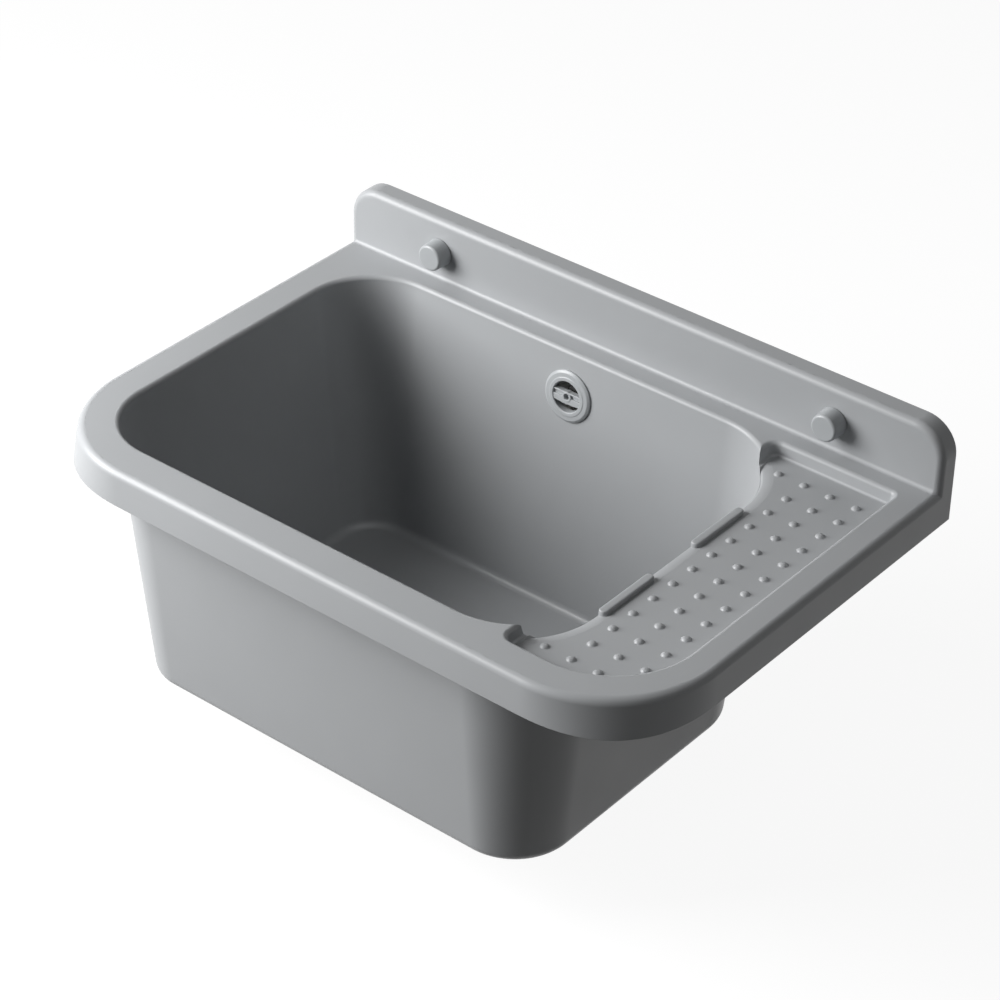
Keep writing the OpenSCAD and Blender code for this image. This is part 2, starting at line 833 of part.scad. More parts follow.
module wall_screw() {
    on_wall() {
        translate([0, 0, splash_t + washer_t])
            hex_block(head_af, head_h);
        cylinder(h = splash_t + washer_t, d = screw_neck_d);
        translate([0, 0, -screw_reach + screw_d])
            cylinder(h = screw_reach - screw_d, r = screw_r);
        translate([0, 0, -screw_reach])
            cylinder(h = screw_d, r1 = screw_r / 4, r2 = screw_r);
    }
}

module wall_washer() {
    on_wall()
        translate([0, 0, splash_t])
            tube(washer_t, washer_r, screw_r + hole_gap);
}

module screw_cap() {
    on_wall()
        translate([0, 0, splash_t + fit_gap])
            difference() {
                union() {
                    cylinder(h = cap_l - fit_gap - cap_edge_r, d = cap_d);
                    rotate_extrude()
                        polygon(concat(
                            [[0, cap_l - fit_gap - cap_edge_r - over], [cap_d / 2, cap_l - fit_gap - cap_edge_r - over]],
                            arc(cap_d / 2 - cap_edge_r, cap_l - fit_gap - cap_edge_r, cap_edge_r, 0, 90, arc_steps),
                            [[0, cap_l - fit_gap]]
                        ));
                }
                translate([0, 0, -over])
                    cylinder(h = cap_l - fit_gap - cap_t + over, r = cap_d / 2 - cap_t);
            }
}

module wall_screw_left() {
    color("#b9bcc0")
        translate([-screw_x, 0, 0])
            wall_screw();
}

module wall_screw_right() {
    color("#b9bcc0")
        translate([screw_x, 0, 0])
            wall_screw();
}

module wall_washer_left() {
    color("#e8e8e6")
        translate([-screw_x, 0, 0])
            wall_washer();
}

module wall_washer_right() {
    color("#e8e8e6")
        translate([screw_x, 0, 0])
            wall_washer();
}

module screw_cap_left() {
    color("#a6a8aa")
        translate([-screw_x, 0, 0])
            screw_cap();
}

module screw_cap_right() {
    color("#a6a8aa")
        translate([screw_x, 0, 0])
            screw_cap();
}

basin();
overflow_rosette();
overflow_screw();
overflow_nut();
overflow_seal();
overflow_elbow();
waste_strainer();
waste_screw();
waste_nut();
waste_flange_seal();
waste_body_seal();
waste_body();
wall_screw_left();
wall_screw_right();
wall_washer_left();
wall_washer_right();
screw_cap_left();
screw_cap_right();
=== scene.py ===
# %% [markdown]
# A wall hung utility basin, dressed in Blender.
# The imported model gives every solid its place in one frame: the origin is on the wall, midway
# between the two fixing screws, X runs along the wall, Y goes into it and Z goes up.
# This lesson rebuilds the visible pieces with finer edges, and gives each its real finish.

import json
import math

import bmesh
import bpy
from mathutils import Matrix, Vector
from mathutils.bvhtree import BVHTree


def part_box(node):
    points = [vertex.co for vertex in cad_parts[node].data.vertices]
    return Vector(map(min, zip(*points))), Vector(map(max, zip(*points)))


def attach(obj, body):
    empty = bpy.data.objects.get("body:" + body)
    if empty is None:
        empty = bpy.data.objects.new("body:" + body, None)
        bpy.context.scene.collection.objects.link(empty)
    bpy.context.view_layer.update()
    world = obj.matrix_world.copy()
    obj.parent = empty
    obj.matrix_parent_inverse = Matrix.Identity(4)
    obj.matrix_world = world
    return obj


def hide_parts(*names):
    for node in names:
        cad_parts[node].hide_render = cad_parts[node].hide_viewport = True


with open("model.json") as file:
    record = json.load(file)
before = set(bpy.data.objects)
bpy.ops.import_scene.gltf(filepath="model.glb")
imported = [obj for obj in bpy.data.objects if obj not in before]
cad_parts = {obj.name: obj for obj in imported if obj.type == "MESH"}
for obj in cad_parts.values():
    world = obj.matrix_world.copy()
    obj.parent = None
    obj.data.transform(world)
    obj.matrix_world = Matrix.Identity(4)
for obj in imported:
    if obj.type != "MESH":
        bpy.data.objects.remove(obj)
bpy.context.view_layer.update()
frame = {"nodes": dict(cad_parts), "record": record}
MM = 0.001

# %% [markdown]
# The camera comes first. The photograph was taken from the front right and above, with a long
# lens, so its upright edges are nearly parallel. The place and turn below were fitted to the
# straight edges of the basin in the photograph.

# %% The camera
camera_data = bpy.data.cameras.new("photo_camera")
camera_data.sensor_width = 36
camera_data.lens = 115.23
camera_data.clip_end = 50
camera = bpy.data.objects.new("photo_camera", camera_data)
bpy.context.scene.collection.objects.link(camera)
forward = Vector((-0.51666, 0.64176, -0.56675)).normalized()
right = Vector((0.77290, 0.63438, 0.01376)).normalized()
up = right.cross(forward).normalized()
turn = Matrix((right, up, -forward)).transposed().to_4x4()
camera.matrix_world = Matrix.Translation((1.30554, -1.80321, 1.35352)) @ turn
bpy.context.scene.camera = camera
print("camera", [round(c, 3) for c in camera.location])

# %% [markdown]
# Each piece is modelled as by hand: a primitive is added, picked faces or edges are shaped in
# edit mode, and modifiers finish it. The few helpers below pick by place and keep the selection
# clean, because an operator acts on everything that is selected.


# %% Helpers for modelling
def work_on(piece):
    """Leave edit mode, deselect everything and make one piece active."""
    if bpy.context.mode != "OBJECT":
        bpy.ops.object.mode_set(mode="OBJECT")
    bpy.ops.object.select_all(action="DESELECT")
    if piece is not None:
        piece.select_set(True)
        bpy.context.view_layer.objects.active = piece


def settle(name):
    """Name the new primitive and move its place, turn and size into its mesh."""
    piece = bpy.context.object
    piece.name = name
    piece.data.name = name
    bpy.ops.object.transform_apply(location=True, rotation=True, scale=True)
    return piece


def pick(piece, kind, test):
    """Select, in edit mode, the vertices, edges or faces that pass the test."""
    if bpy.context.edit_object != piece:
        work_on(piece)
        bpy.ops.object.mode_set(mode="EDIT")
    bpy.ops.mesh.select_mode(type=kind)
    bpy.ops.mesh.select_all(action="DESELECT")
    shape = bmesh.from_edit_mesh(piece.data)
    parts = {"VERT": shape.verts, "EDGE": shape.edges, "FACE": shape.faces}[kind]
    for part in parts:
        if test(part):
            part.select_set(True)
    shape.select_flush_mode()
    bmesh.update_edit_mesh(piece.data)


def point_outwards():
    """Turn all the faces of the piece that is in edit mode outwards."""
    bpy.ops.mesh.select_all(action="SELECT")
    bpy.ops.mesh.normals_make_consistent(inside=False)


def apply(piece, kind, **settings):
    """Add one modifier to a piece and apply it."""
    work_on(piece)
    modifier = piece.modifiers.new(kind.lower(), kind)
    for key, value in settings.items():
        setattr(modifier, key, value)
    bpy.ops.object.modifier_apply(modifier=modifier.name)


def middle(edge):
    """The middle of an edge."""
    return (edge.verts[0].co + edge.verts[1].co) / 2


def finish_shading(piece, angle=32):
    """Shade smooth up to an angle, and let the large flat faces set the normals."""
    work_on(piece)
    bpy.ops.object.shade_smooth_by_angle(angle=math.radians(angle))
    apply(piece, "WEIGHTED_NORMAL", keep_sharp=True, weight=80)


def arc(cx, cy, r, start, end, steps):
    """Points on an arc, in mm, with its angles in degrees."""
    angles = [math.radians(start + (end - start) * i / steps) for i in range(steps + 1)]
    return [(cx + r * math.cos(a), cy + r * math.sin(a)) for a in angles]


print("helpers for modelling ready")

# %% [markdown]
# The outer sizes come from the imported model, so the dressed basin fills the same box. The bowl,
# the recess of the drain board and their radii were read off the photograph once more, and a few
# of them differ a little from those of the solids. The corner radii of an outline start at its
# right back corner and go round by the left. All sizes are in millimetres.

# %% Sizes of the basin
lo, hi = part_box("basin")
half_w = round(hi.x / MM, 2)
front_y = round(lo.y / MM, 2)
splash_z = round(hi.z / MM, 2)
splash_y = -19.0
rim_z, skirt_z, floor_z = -25.5, -58.0, -267.5
wall = 3.5
rim_corner_r, splash_corner_r, outer_edge_r = 100, 28, 6
bowl = dict(x0=-270.0, x1=188.0, y0=-373.0, y1=-36.0)
bowl_radii = [75.0, 64.0, 64.0, 75.0]
bowl_edge, bowl_fillet, bowl_draft = 4.0, 8.0, 0.09
board = dict(x0=155.0, x1=277.0, y0=-377.0, y1=-34.0)
board_radii = [9, 12, 12, 77]
board_edge, board_fillet, board_draft = 4.0, 2.5, 0.12
board_z = -37.5
board_depth = rim_z - board_z
print("basin", half_w, front_y, splash_z)

# %% [markdown]
# The basin is one moulding of polypropylene with an even wall. On the real one a mould presses
# both sides at once, so every corner has a radius. It could be cut out of a block, but its
# sharp cuts would have no radii. Here its visible skin is modelled as one open sheet, and
# a Solidify modifier then gives that sheet the thickness of the moulding, as in the real part.


# %% A plate with rounded corners
def corner_plate(name, x0, x1, y0, y1, z, radii, cuts=24):
    """A flat plate whose corners, given as (x, y, radius), are rounded by a vertex bevel."""
    work_on(None)
    bpy.ops.mesh.primitive_plane_add(
        size=1, location=((x0 + x1) / 2 * MM, (y0 + y1) / 2 * MM, z * MM)
    )
    bpy.context.object.scale = ((x1 - x0) * MM, (y1 - y0) * MM, 1)
    plate = settle(name)
    for x, y, radius in radii:
        spot = Vector((x * MM, y * MM, z * MM))
        pick(plate, "VERT", lambda v: (v.co - spot).length < 1e-5)
        bpy.ops.mesh.bevel(
            affect="VERTICES", offset=radius * MM, segments=cuts, profile=0.5, clamp_overlap=False
        )
    return plate


def pull_up(height):
    """Extrude the picked face straight up, or down."""
    bpy.ops.mesh.extrude_region_move(TRANSFORM_OT_translate={"value": (0, 0, height * MM)})


def follow(profile, up=1):
    """Inset the picked face in steps, so that its edge follows (inward, height) points in mm."""
    for (a, b), (c, d) in zip(profile, profile[1:]):
        bpy.ops.mesh.inset(
            thickness=(c - a) * MM, depth=(d - b) * up * MM, use_even_offset=True, use_boundary=True
        )


print("helpers for plates ready")

# %% The rim with its skirt, and the splash back behind it
moulding = corner_plate(
    "basin_moulding", -half_w, half_w, front_y, 0, skirt_z,
    [(-half_w, front_y, rim_corner_r), (half_w, front_y, rim_corner_r)], cuts=32,
)
pick(moulding, "FACE", lambda f: True)
pull_up(rim_z - skirt_z)
bpy.ops.mesh.select_all(action="SELECT")
bpy.ops.mesh.bisect(plane_co=(0, splash_y * MM, 0), plane_no=(0, 1, 0))
pick(
    moulding, "FACE",
    lambda f: f.normal.z > 0.9 and f.calc_center_median().y > splash_y * MM
    and f.calc_center_median().z > (rim_z - 1) * MM,
)
pull_up(splash_z - rim_z)
pick(
    moulding, "EDGE",
    lambda e: abs(middle(e).x) > (half_w - 0.1) * MM and middle(e).z > (splash_z - 0.1) * MM,
)
bpy.ops.mesh.bevel(offset=splash_corner_r * MM, segments=12, profile=0.5, clamp_overlap=False)
point_outwards()
work_on(moulding)
print("rim and splash back", len(moulding.data.polygons), "faces")

# %% [markdown]
# Round its two front corners the foot of the real skirt stands out a little. Only the lowest
# points move, outwards from the centre of the corner. The square of the sine of twice the angle
# starts and ends level, so the flare grows out of the straight sides without a crease.

# %% The flare at the foot of the skirt
flare = 5.0
for vertex in moulding.data.vertices:
    out_x = abs(vertex.co.x) / MM - (half_w - rim_corner_r)
    out_y = front_y + rim_corner_r - vertex.co.y / MM
    if vertex.co.z < (skirt_z + 0.1) * MM and out_x > 0 and out_y > 0:
        reach = flare * MM * (2 * out_x * out_y / rim_corner_r**2) ** 2 / rim_corner_r
        vertex.co.x += math.copysign(out_x * reach, vertex.co.x)
        vertex.co.y -= out_y * reach
print("skirt flares by", flare, "mm")

# %% [markdown]
# The outer edges of the real rim and splash back are rounded by about 6 mm, and the inside
# corner between them by less. One Bevel modifier does all of them at once, because the edges
# meet in one point at each end: each edge gets a weight, and the radius follows the weight.


# %% Round the outer edges
def weigh(piece, weight, test):
    """Give the picked edges a bevel weight."""
    pick(piece, "EDGE", test)
    shape = bmesh.from_edit_mesh(piece.data)
    layers = shape.edges.layers.float
    layer = layers.get("bevel_weight_edge") or layers.new("bevel_weight_edge")
    for edge in shape.edges:
        if edge.select:
            edge[layer] = weight
    bmesh.update_edit_mesh(piece.data)


def level(value):
    """A test that all the corners of an edge or a face lie at one height."""
    return lambda part: all(abs(v.co.z - value * MM) < 1e-5 for v in part.verts)


def at_splash(part):
    """A test that an edge lies in the front of the splash back."""
    return all(abs(v.co.y - splash_y * MM) < 1e-5 for v in part.verts)


weigh(moulding, 1.0, lambda e: level(rim_z)(e) and middle(e).y < (splash_y - 0.1) * MM)
weigh(moulding, 1.0, lambda e: at_splash(e) and middle(e).z > (rim_z + 0.1) * MM)
weigh(moulding, 0.6, lambda e: at_splash(e) and level(rim_z)(e))
apply(
    moulding, "BEVEL", width=outer_edge_r * MM, segments=8, limit_method="WEIGHT",
    use_clamp_overlap=False,
)
work_on(moulding)
print("rounded", len(moulding.data.polygons), "faces")

# %% [markdown]
# The bowl, the recess of the drain board and the soft lip between them are each a closed cutter:
# a rounded plate whose lower face is inset again and again, so that every step stays parallel to
# its outline. Such a cutter already has the radii of the mould on it. For the cuts the rim is
# drawn down to a block that is deeper than the bowl, and what is below the skirt goes later.


# %% Helpers for cutters
def slope_of(draft):
    """The length of a drafted wall per mm of its depth, and its tilt in degrees."""
    return math.sqrt(1 + draft * draft), math.degrees(math.atan(draft))


def inward(depth, edge, draft):
    """How far a wall stands inside its opening, at a depth below the rounded edge."""
    return edge * slope_of(draft)[0] + draft * (depth - edge)


# The cutters of the rim start this much above it, so that no two faces lie in one plane.
over = 0.02


def recess_profile(depth, edge, fillet, draft, steps):
    """Half the section of a recess: a rounded edge, a drafted wall and a fillet at its floor."""
    straight, tilt = slope_of(draft)
    foot = inward(depth - fillet, edge, draft)
    points = [(x, z + over) for x, z in arc(0, rim_z - edge, edge, 90, tilt, steps)]
    centre = (foot + fillet * straight, rim_z - depth + fillet)
    return points + arc(*centre, fillet, 180 + tilt, 270, steps)


def cutter(name, outline, inset, radii, profile, top=1.0):
    """A closed cutter that is drawn in from an outline and goes down along a profile."""
    x0, x1 = outline["x0"] + inset, outline["x1"] - inset
    y0, y1 = outline["y0"] + inset, outline["y1"] - inset
    corners = [(x1, y1), (x0, y1), (x0, y0), (x1, y0)]
    z = profile[0][1]
    rounded = [(x, y, r) for (x, y), r in zip(corners, radii)]
    made = corner_plate(name, x0, x1, y0, y1, z + top, rounded)
    pick(made, "FACE", lambda f: True)
    pull_up(-top)
    point_outwards()
    pick(made, "FACE", level(z))
    follow(profile, up=-1)
    work_on(made)
    return made


def cut(piece, tool, way="DIFFERENCE"):
    """Take one piece out of another, or keep what they share, and remove the tool."""
    apply(piece, "BOOLEAN", operation=way, object=tool, solver="EXACT")
    bpy.data.objects.remove(tool)


print("helpers for cutters ready")

# %% The cutters of the bowl and the drain board
bowl_profile = recess_profile(rim_z - floor_z, bowl_edge, bowl_fillet, bowl_draft, 8)
bowl_cutter = cutter("bowl_cutter", bowl, 0, bowl_radii, bowl_profile)
board_profile = recess_profile(board_depth, board_edge, board_fillet, board_draft, 6)
board_cutter = cutter("board_cutter", board, 0, board_radii, board_profile)
print("bowl cutter", len(bowl_cutter.data.polygons), "board cutter", len(board_cutter.data.polygons))

# %% [markdown]
# Towards the bowl the floor of the drain board rolls over and falls, so that water runs off. The
# cutter of this lip follows the bowl, a lip's width outside its wall, and the roll is its lower
# side. What lies outside the floor of the drain board is taken off by keeping only what it
# shares with a second solid, a plate with the outline of that floor.

# %% The soft lip between the drain board and the bowl
lip_w, lip_edge = 11.5, 3.0
roll_r, roll_end = 27.8, 70
roll = arc(0, board_z - roll_r, roll_r, 86, roll_end, 6)
turn_x = roll[-1][0] - lip_edge * math.cos(math.radians(roll_end))
turn_z = roll[-1][1] - lip_edge * math.sin(math.radians(roll_end))
lip_profile = [(0, board_z + 0.1)] + roll
lip_profile += arc(turn_x, turn_z, lip_edge, roll_end, slope_of(bowl_draft)[1], 8)[1:]
lip_profile += [(lip_w + 4, turn_z)]
lip_inset = inward(board_depth, bowl_edge, bowl_draft) - lip_w
lip_radii = [r - lip_inset for r in bowl_radii]
lip_cutter = cutter("lip_cutter", bowl, lip_inset, lip_radii, lip_profile, top=0.1)
keep_inset = inward(board_depth, board_edge, board_draft) + board_fillet + 0.3
keep_profile = [(0, board_z + 1), (0, board_z), (7, board_z - 7)]
keep = cutter("keep", board, keep_inset, [30, 12, 12, 60], keep_profile)
cut(lip_cutter, keep, "INTERSECT")
print("lip cutter", len(lip_cutter.data.polygons), "falls", round(board_z - turn_z, 2))

# %% [markdown]
# The three cutters now go through the block. The holes of the waste, the overflow and the two
# wall screws are drilled at once as well, while the block is still closed, because a Boolean
# needs closed meshes. The walls of these holes go later, when the block becomes a skin.

# %% Cut the rim
block_h = 250
pick(moulding, "FACE", level(skirt_z))
pull_up(-block_h)
point_outwards()
for tool in (bowl_cutter, board_cutter, lip_cutter):
    cut(moulding, tool)
print("cut", len(moulding.data.polygons), "faces")


# %% Drill the holes
def drill(name, radius, length, place=(0, 0, 0), turn=(0, 0, 0)):
    """A round cutter, whose middle stands on the place that it drills."""
    work_on(None)
    bpy.ops.mesh.primitive_cylinder_add(
        vertices=64, radius=radius * MM, depth=length * MM, location=place, rotation=turn
    )
    return settle(name)


quarter_turn = math.pi / 2
wall_tilt = math.atan(bowl_draft)
drain_x, waste_y = -41.0, -204.5
overflow_drop = 40
overflow_y = bowl["y1"] - inward(overflow_drop, bowl_edge, bowl_draft)
waste_at = Vector((drain_x, waste_y, floor_z)) * MM
overflow_at = Vector((drain_x, overflow_y, rim_z - overflow_drop)) * MM
screw_x, screw_hole_r = 200.0, 4.5
cut(moulding, drill("waste_drill", 23, 30, waste_at))
cut(moulding, drill("overflow_drill", 17.25, 24, overflow_at, (quarter_turn - wall_tilt, 0, 0)))
for side in (-1, 1):
    screw_at = Vector((side * screw_x, splash_y, 0)) * MM
    cut(moulding, drill("screw_drill", screw_hole_r, 16, screw_at, (quarter_turn, 0, 0)))
print("drilled", len(moulding.data.polygons), "faces")

# %% [markdown]
# Only the visible skin of the block is wanted, so all other faces are deleted. A level cut just
# below the drain board gives the walls a row of points there, which keeps the mends of the next
# step near the board. Booleans leave faces with many corners and points that nearly meet. The
# points are merged and the faces split to triangles, because Solidify needs a clean sheet.

# %% Open the block to a skin
row_z = -46
out_of_bowl_wall = Vector((0, -math.cos(wall_tilt), math.sin(wall_tilt)))


def is_outside(face):
    """Faces that only helped the cuts: the block's back and foot, and the walls of the holes."""
    at = face.calc_center_median() / MM
    in_bowl = bowl["x0"] - 1 < at.x < bowl["x1"] + 1 and bowl["y0"] - 1 < at.y < bowl["y1"] + 1
    below_skirt = at.z < skirt_z - 1 and not (in_bowl and at.z > floor_z - 1)
    in_screw_hole = at.y > splash_y + 1 and abs(abs(at.x) - screw_x) < 5 and abs(at.z) < 5
    from_overflow = at - overflow_at / MM
    in_overflow_hole = from_overflow.length < 22 and from_overflow.dot(out_of_bowl_wall) < -1
    return at.y > -0.1 or below_skirt or in_screw_hole or in_overflow_hole


pick(moulding, "FACE", is_outside)
bpy.ops.mesh.delete(type="FACE")
bpy.ops.mesh.select_all(action="SELECT")
bpy.ops.mesh.bisect(plane_co=(0, 0, row_z * MM), plane_no=(0, 0, 1))
bpy.ops.mesh.select_all(action="SELECT")
bpy.ops.mesh.remove_doubles(threshold=5e-6)
bpy.ops.mesh.dissolve_degenerate(threshold=2e-6)
pick(moulding, "FACE", lambda f: len(f.verts) > 4)
bpy.ops.mesh.quads_convert_to_tris(quad_method="BEAUTY", ngon_method="BEAUTY")
work_on(moulding)
print("skin", len(moulding.data.polygons), "faces")

# %% [markdown]
# A Solidify modifier now gives the skin the even wall of the moulding. Two places need care. At
# sharp corners its even offset overshoots, so those points are pulled back. In the thin ridges
# at both ends of the drain board a full wall would come out of the other side. A ray from each
# point finds these, and there the inner side is drawn down: the real ridges are solid too.

# %% Give the skin its wall
skin = [(v.co.copy(), v.normal.copy()) for v in moulding.data.vertices]
tree = BVHTree.FromObject(moulding, bpy.context.evaluated_depsgraph_get())
apply(
    moulding, "SOLIDIFY", thickness=wall * MM, offset=-1,
    use_even_offset=True, use_quality_normals=True,
)
strays = 0
for i, (co, normal) in enumerate(skin):
    back = moulding.data.vertices[i + len(skin)]
    free = tree.ray_cast(co - normal * 0.05 * MM, -normal, 2 * wall * MM)[3]
    if free is not None and co.z > (board_z - 1) * MM:
        back.co = Vector((co.x, co.y, (board_z - wall - 1) * MM))
        strays += 1
    elif (back.co - co).length > 1.5 * wall * MM:
        back.co = co - normal * wall * MM
        strays += 1
print("points of the inner side pulled back", strays)

# %% Round the foot of the skirt, and shade the moulding
pick(
    moulding, "EDGE",
    lambda e: level(skirt_z)(e) and e.calc_face_angle(0) > 1 and middle(e).y < -0.0001,
)
bpy.ops.mesh.bevel(offset=0.8 * MM, segments=2, profile=0.5, clamp_overlap=True)
work_on(moulding)
finish_shading(moulding)
dressed = []


def hand_over(piece, slot, body="basin_body", node=None):
    """Name the body a piece rides on, its slot, and the node that it takes the place of."""
    if node:
        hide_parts(node)
    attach(piece, body)
    dressed.append((piece, slot))


hand_over(moulding, "basin_plastic", node="basin")
print("moulding", len(moulding.data.polygons), "faces", [round(c / MM, 1) for c in moulding.dimensions])

# %% [markdown]
# The drain board carries rows of small nubs, so that what stands on it stays clear of the water.
# One nub is a low dome whose foot runs out softly into the board. Its profile could be spun,
# but a round face that is inset seven times, each time a step higher, gives the same dome.


# %% One nub, and its copies
def copy_to(piece, place):
    """A copy with its own mesh, moved to a place in mm."""
    twin = piece.copy()
    twin.data = piece.data.copy()
    twin.data.transform(Matrix.Translation(Vector(place) * MM))
    bpy.context.scene.collection.objects.link(twin)
    return twin


def join_all(pieces, name):
    """Join the pieces to one object with this name."""
    work_on(pieces[0])
    for piece in pieces:
        piece.select_set(True)
    bpy.ops.object.join()
    pieces[0].name = name
    pieces[0].data.name = name
    return pieces[0]


nub_r, nub_pitch, nub_margin = 4.3, 24.2, 24.5
dome = [
    (0, 0), (0.45, 0.08), (0.8, 0.36), (1.1, 0.78), (1.55, 1.24), (2.2, 1.64), (3.0, 1.86), (3.8, 1.93),
]
work_on(None)
bpy.ops.mesh.primitive_circle_add(vertices=20, radius=nub_r * MM, fill_type="NGON")
nub = settle("nub")
pick(nub, "FACE", lambda f: True)
follow(dome)
point_outwards()
work_on(nub)
board_middle = (board["y0"] + board["y1"]) / 2
spots = []
for column in range(3):
    for row in range(-6, 7):
        if column > 0 or row > -6:
            spots.append((column, row))
spots += [(3, -6), (3, 6)]
nubs = []
for column, row in spots:
    nub_x = board["x1"] - nub_margin - column * nub_pitch
    nubs.append(copy_to(nub, (nub_x, board_middle + row * nub_pitch, board_z)))
bpy.data.objects.remove(nub)
nubs = join_all(nubs, "drain_board_nubs")
finish_shading(nubs, 60)
hand_over(nubs, "basin_plastic")
print("nubs", len(spots))

# %% [markdown]
# Two low kerbs stand along the edge of the bowl and keep things from sliding in. Each starts as
# a rounded plate that stands in the board, and insets that climb give it upright sides, a soft
# edge and a flat top. On the side of the bowl its foot goes deeper, because the lip falls there.

# %% The two kerbs
kerb_w, kerb_l, kerb_r = 7.8, 62, 3.5
kerb_pitch, kerb_shift, kerb_foot, kerb_dip = 113, -2, 3, 1.8
kerb_x = bowl["x1"] - inward(board_depth, bowl_edge, bowl_draft) + 4.1
kerb_sides = (kerb_x - kerb_w / 2, kerb_x + kerb_w / 2)
kerbs = []
for side in (-1, 1):
    kerb_y = board_middle + kerb_shift + side * kerb_pitch / 2
    kerb_ends = (kerb_y - kerb_l / 2, kerb_y + kerb_l / 2)
    kerb = corner_plate(
        "kerb", *kerb_sides, *kerb_ends, board_z - kerb_foot,
        [(x, y, kerb_r) for y in kerb_ends for x in kerb_sides], cuts=6,
    )
    pick(kerb, "FACE", lambda f: True)
    follow([(0, 0), (0.2, 5.2), (0.32, 5.75), (0.6, 6.15), (1.0, 6.38), (1.6, 6.5), (2.6, 6.55)])
    point_outwards()
    work_on(kerb)
    for vertex in kerb.data.vertices:
        if vertex.co.z < (board_z - kerb_foot + 0.1) * MM:
            vertex.co.z -= kerb_dip * max(0, kerb_x * MM - vertex.co.x) / (kerb_w / 2)
    kerbs.append(kerb)
kerbs = join_all(kerbs, "drain_board_kerbs")
finish_shading(kerbs, 60)
hand_over(kerbs, "basin_plastic")
print("kerbs 2")

# %% [markdown]
# Behind the splash back the moulding is stiffened. A ledge closes the gap between it and the rim,
# five thin ribs stand upright, and two bosses carry the wall screws. The mould pulls straight
# back from them, so each rib is a block that gets a little thinner towards the wall.


# %% The ribs, the ledge and the bosses behind the splash back
def block(name, x0, x1, y0, y1, z0, z1, edge=0.3, where=None):
    """A block between two corners, in mm, whose edges are bevelled."""
    work_on(None)
    bpy.ops.mesh.primitive_cube_add(
        size=1, location=((x0 + x1) / 2 * MM, (y0 + y1) / 2 * MM, (z0 + z1) / 2 * MM)
    )
    bpy.context.object.scale = ((x1 - x0) * MM, (y1 - y0) * MM, (z1 - z0) * MM)
    made = settle(name)
    pick(made, "EDGE", where or (lambda e: True))
    bpy.ops.mesh.bevel(offset=edge * MM, segments=2, profile=0.5)
    work_on(made)
    return made


def at_wall(edge):
    """A test that an edge lies at the back, next to the wall."""
    return all(v.co.y > -1 * MM for v in edge.verts)


rib_t, rib_back, ledge_half = 3, -0.2, half_w - wall + 0.1
boss_r, boss_l = 9, 17
ribs = [block("ledge", -ledge_half, ledge_half, -17, rib_back, rim_z - wall, rim_z, 0.4, at_wall)]
for x in (-250, -100, 0, 100, 250):
    rib = block(
        "rib", x - rib_t / 2, x + rib_t / 2, -16.4, rib_back, rim_z - 1, splash_z - 2.6, 0.3, at_wall
    )
    pick(rib, "FACE", lambda f: f.normal.y > 0.9)
    bpy.ops.transform.resize(value=(0.7, 1, 1), center_override=(x * MM, rib_back * MM, 0))
    work_on(rib)
    ribs.append(rib)
for side in (-1, 1):
    work_on(None)
    bpy.ops.mesh.primitive_cylinder_add(
        vertices=48, radius=boss_r * MM, depth=boss_l * MM, rotation=(quarter_turn, 0, 0),
        location=(side * screw_x * MM, (rib_back - boss_l / 2) * MM, 0),
    )
    boss = settle("boss")
    boss_at = Vector((side * screw_x, -9, 0)) * MM
    cut(boss, drill("boss_drill", screw_hole_r, 30, boss_at, (quarter_turn, 0, 0)))
    pick(boss, "EDGE", at_wall)
    bpy.ops.mesh.bevel(offset=0.5 * MM, segments=2, profile=0.5)
    work_on(boss)
    ribs.append(boss)
ribs = join_all(ribs, "splash_ribs")
finish_shading(ribs)
hand_over(ribs, "basin_plastic")
print("ribs 5, ledge 1, bosses 2")

# %% [markdown]
# The screw caps, washers, rosette and waste are round pieces, turned or moulded in turned moulds.
# Each starts as a loop that follows half of its section. The corners of the loop are rounded,
# as a tool with a nose radius leaves them, and a Screw modifier turns the loop once round Z.


# %% Helpers for turned pieces
def soften(corners, steps=5):
    """Round the corners of a closed outline. A corner is (x, y) or (x, y, radius)."""
    points = []
    for i, corner in enumerate(corners):
        here = Vector(corner[:2])
        if len(corner) == 2:
            points.append(here)
            continue
        before = (Vector(corners[i - 1][:2]) - here).normalized()
        after = (Vector(corners[(i + 1) % len(corners)][:2]) - here).normalized()
        half = before.angle(after) / 2
        centre = here + (before + after).normalized() * corner[2] / math.sin(half)
        reach = corner[2] / math.tan(half)
        first, last = here + before * reach - centre, here + after * reach - centre
        for k in range(steps + 1):
            points.append(centre + first.lerp(last, k / steps).normalized() * corner[2])
    return points


def section(name, corners):
    """A loop of edges in the XZ plane, whose points are (radius, height) in mm."""
    points = soften(corners)
    work_on(None)
    bpy.ops.mesh.primitive_circle_add(vertices=len(points), fill_type="NOTHING")
    loop = settle(name)
    for vertex, point in zip(loop.data.vertices, points):
        vertex.co = Vector((point.x, 0, point.y)) * MM
    return loop


def clean(piece):
    """Merge the doubles of a piece and turn its faces outwards."""
    pick(piece, "FACE", lambda f: True)
    bpy.ops.mesh.select_all(action="SELECT")
    bpy.ops.mesh.remove_doubles(threshold=1e-6)
    bpy.ops.mesh.dissolve_degenerate(threshold=1e-6)
    point_outwards()
    work_on(piece)


def turned(name, corners, steps=64):
    """A closed section, turned once round Z."""
    piece = section(name, corners)
    apply(
        piece, "SCREW", angle=2 * math.pi, steps=steps, render_steps=steps, axis="Z",
        use_merge_vertices=True, merge_threshold=1e-6,
    )
    clean(piece)
    return piece


